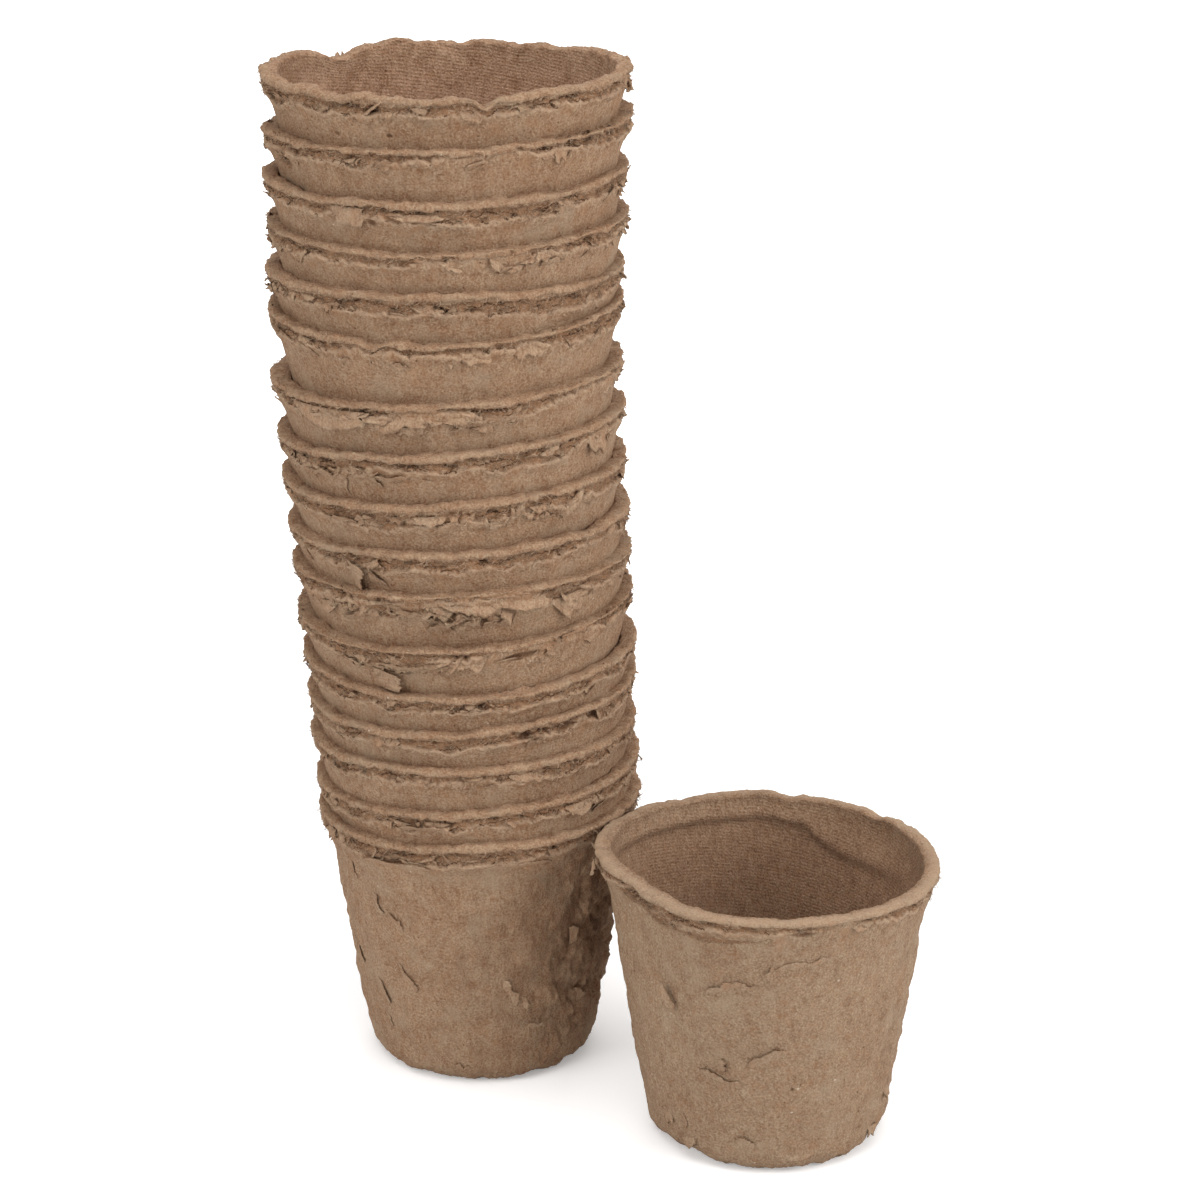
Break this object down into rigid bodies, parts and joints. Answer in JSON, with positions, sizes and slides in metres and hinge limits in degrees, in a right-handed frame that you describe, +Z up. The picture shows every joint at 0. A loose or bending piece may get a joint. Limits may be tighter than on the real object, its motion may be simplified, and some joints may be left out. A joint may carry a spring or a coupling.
{
  "type": "peat pot set",
  "caption": "Tapered moulded-fibre plant pots with flared ragged lips, nested in a leaning stack, and a like pot standing beside it; each pot lifts out of the pot below.",
  "frame": {"origin": "centre of the underside of the lowest pot in the stack, on the floor", "axes": "+Z up the stack, +X to the right as pictured, -Y towards the camera"},
  "size_m": [0.1532, 0.1227, 0.2403],
  "materials": {
    "moulded_fibre": "matte"
  },
  "bodies": {
    "stack_pot_01": {"stack_pot_01": "moulded_fibre"},
    "stack_pot_02": {"stack_pot_02": "moulded_fibre"},
    "stack_pot_03": {"stack_pot_03": "moulded_fibre"},
    "stack_pot_04": {"stack_pot_04": "moulded_fibre"},
    "stack_pot_05": {"stack_pot_05": "moulded_fibre"},
    "stack_pot_06": {"stack_pot_06": "moulded_fibre"},
    "stack_pot_07": {"stack_pot_07": "moulded_fibre"},
    "stack_pot_08": {"stack_pot_08": "moulded_fibre"},
    "stack_pot_09": {"stack_pot_09": "moulded_fibre"},
    "stack_pot_10": {"stack_pot_10": "moulded_fibre"},
    "stack_pot_11": {"stack_pot_11": "moulded_fibre"},
    "stack_pot_12": {"stack_pot_12": "moulded_fibre"},
    "stack_pot_13": {"stack_pot_13": "moulded_fibre"},
    "stack_pot_14": {"stack_pot_14": "moulded_fibre"},
    "stack_pot_15": {"stack_pot_15": "moulded_fibre"},
    "stack_pot_16": {"stack_pot_16": "moulded_fibre"},
    "stack_pot_17": {"stack_pot_17": "moulded_fibre"},
    "single_pot": {"single_pot": "moulded_fibre"}
  },
  "joints": [
    {"name": "stack_pot_02_lift", "type": "slide", "parent": "stack_pot_01", "child": "stack_pot_02", "axis": [-0.0085, 0, 1], "range_m": [0, 0.066]},
    {"name": "stack_pot_03_lift", "type": "slide", "parent": "stack_pot_02", "child": "stack_pot_03", "axis": [-0.0178, 0, 0.9998], "range_m": [0, 0.066]},
    {"name": "stack_pot_04_lift", "type": "slide", "parent": "stack_pot_03", "child": "stack_pot_04", "axis": [-0.028, 0, 0.9996], "range_m": [0, 0.066]},
    {"name": "stack_pot_05_lift", "type": "slide", "parent": "stack_pot_04", "child": "stack_pot_05", "axis": [-0.0389, 0, 0.9992], "range_m": [0, 0.066]},
    {"name": "stack_pot_06_lift", "type": "slide", "parent": "stack_pot_05", "child": "stack_pot_06", "axis": [-0.0505, 0, 0.9987], "range_m": [0, 0.066]},
    {"name": "stack_pot_07_lift", "type": "slide", "parent": "stack_pot_06", "child": "stack_pot_07", "axis": [-0.0505, 0, 0.9987], "range_m": [0, 0.066]},
    {"name": "stack_pot_08_lift", "type": "slide", "parent": "stack_pot_07", "child": "stack_pot_08", "axis": [-0.0505, 0, 0.9987], "range_m": [0, 0.066]},
    {"name": "stack_pot_09_lift", "type": "slide", "parent": "stack_pot_08", "child": "stack_pot_09", "axis": [-0.0505, 0, 0.9987], "range_m": [0, 0.066]},
    {"name": "stack_pot_10_lift", "type": "slide", "parent": "stack_pot_09", "child": "stack_pot_10", "axis": [-0.0505, 0, 0.9987], "range_m": [0, 0.066]},
    {"name": "stack_pot_11_lift", "type": "slide", "parent": "stack_pot_10", "child": "stack_pot_11", "axis": [-0.0348, 0, 0.9994], "range_m": [0, 0.066]},
    {"name": "stack_pot_12_lift", "type": "slide", "parent": "stack_pot_11", "child": "stack_pot_12", "axis": [-0.0182, 0, 0.9998], "range_m": [0, 0.066]},
    {"name": "stack_pot_13_lift", "type": "slide", "parent": "stack_pot_12", "child": "stack_pot_13", "axis": [-0.0008, 0, 1], "range_m": [0, 0.066]},
    {"name": "stack_pot_14_lift", "type": "slide", "parent": "stack_pot_13", "child": "stack_pot_14", "axis": [-0.0008, 0, 1], "range_m": [0, 0.066]},
    {"name": "stack_pot_15_lift", "type": "slide", "parent": "stack_pot_14", "child": "stack_pot_15", "axis": [-0.0008, 0, 1], "range_m": [0, 0.066]},
    {"name": "stack_pot_16_lift", "type": "slide", "parent": "stack_pot_15", "child": "stack_pot_16", "axis": [-0.0008, 0, 1], "range_m": [0, 0.066]},
    {"name": "stack_pot_17_lift", "type": "slide", "parent": "stack_pot_16", "child": "stack_pot_17", "axis": [-0.0008, 0, 1], "range_m": [0, 0.066]},
    {"name": "single_pot_lift", "type": "slide", "parent": "stack_pot_01", "child": "single_pot", "axis": [0, 0, 1], "range_m": [0, 0.066]}
  ]
}
